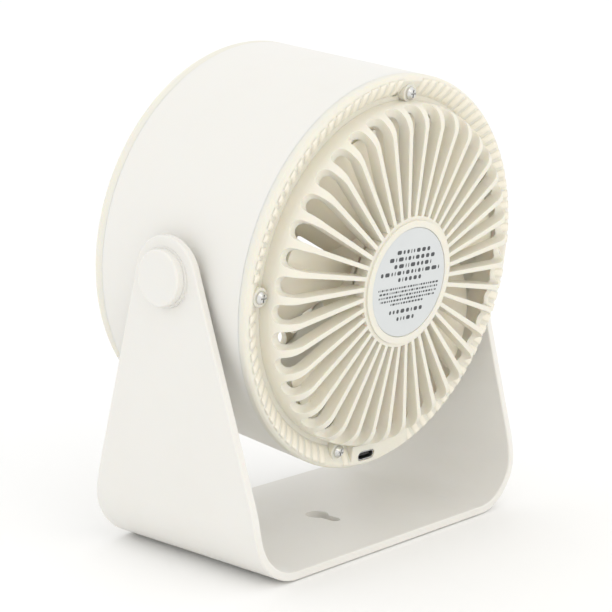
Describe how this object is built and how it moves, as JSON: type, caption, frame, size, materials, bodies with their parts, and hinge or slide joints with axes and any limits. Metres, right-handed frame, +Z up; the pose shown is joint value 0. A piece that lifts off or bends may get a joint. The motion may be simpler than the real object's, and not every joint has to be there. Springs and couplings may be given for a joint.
{
  "type": "desk fan",
  "caption": "Small drum-shaped desk fan that tilts between the arms of a U-shaped stand, with radial-rib grilles and a socket in its rear rim.",
  "frame": {"origin": "middle of the underside of the feet", "axes": "+Z up, the fan blows towards -Y, +X along the tilt axis"},
  "size_m": [0.1688, 0.104, 0.1865],
  "materials": {
    "stand_plastic": "smooth satin white ABS",
    "drum_plastic": "smooth satin white ABS",
    "cream_plastic": "fine satin cream ABS",
    "cap_plastic": "smooth satin white ABS",
    "rubber_feet": "soft grey-white silicone",
    "label_film": "grey-blue matt film",
    "screw_steel": "nickel plated",
    "plain_steel": "bright steel",
    "brass": "machined brass",
    "board_green": "glass-epoxy circuit board",
    "black_plastic": "black moulded plastic",
    "copper_wire": "enamelled copper",
    "magnet": "bonded ferrite",
    "alloy": "die-cast aluminium",
    "wire_sleeve": "PVC insulated lead",
    "felt_washer": "rubber friction washer",
    "nylon": "natural nylon"
  },
  "bodies": {
    "stand": {"stand_bracket": "stand_plastic", "foot_pads": "rubber_feet", "pivot_bushings": "nylon", "pivot_cap_left": "cap_plastic", "pivot_cap_right": "cap_plastic"},
    "rotor": {"motor_shaft": "plain_steel", "shaft_clip": "plain_steel", "rotor_bell": "plain_steel", "magnet_ring": "magnet", "fan_blades": "cream_plastic", "fan_nut": "brass"},
    "button": {"power_button": "cap_plastic", "switch_plunger": "black_plastic"},
    "head": {"friction_washers": "felt_washer", "pivot_inserts": "brass", "pivot_screws": "plain_steel", "drum_shell": "drum_plastic", "air_duct": "cream_plastic", "rear_cover": "cream_plastic", "hub_label": "label_film", "cover_screws": "screw_steel", "front_grille": "cream_plastic", "tact_switch": "black_plastic", "switch_board": "board_green", "switch_board_screws": "screw_steel", "switch_cover": "cream_plastic", "motor_base": "alloy", "motor_screws": "screw_steel", "motor_bearings": "plain_steel", "stator_core": "plain_steel", "stator_coils": "copper_wire", "driver_board": "board_green", "control_board": "board_green", "board_screws": "screw_steel", "board_parts": "black_plastic", "usb_socket": "plain_steel", "usb_tongue": "black_plastic", "motor_leads": "wire_sleeve", "switch_leads": "wire_sleeve"}
  },
  "joints": [
    {"name": "head_tilt", "type": "hinge", "parent": "stand", "child": "head", "pos_m": [0, 0, 0.107], "axis": [1, 0, 0], "range_deg": [-83, 97]},
    {"name": "fan_spin", "type": "hinge", "parent": "head", "child": "rotor", "pos_m": [0, 0, 0.107], "axis": [0, 0.9925, -0.1219], "continuous": true},
    {"name": "button_press", "type": "slide", "parent": "head", "child": "button", "axis": [0, 0.9925, -0.1219], "range_m": [0, 0.0008], "stiffness_N_per_m": 800}
  ]
}
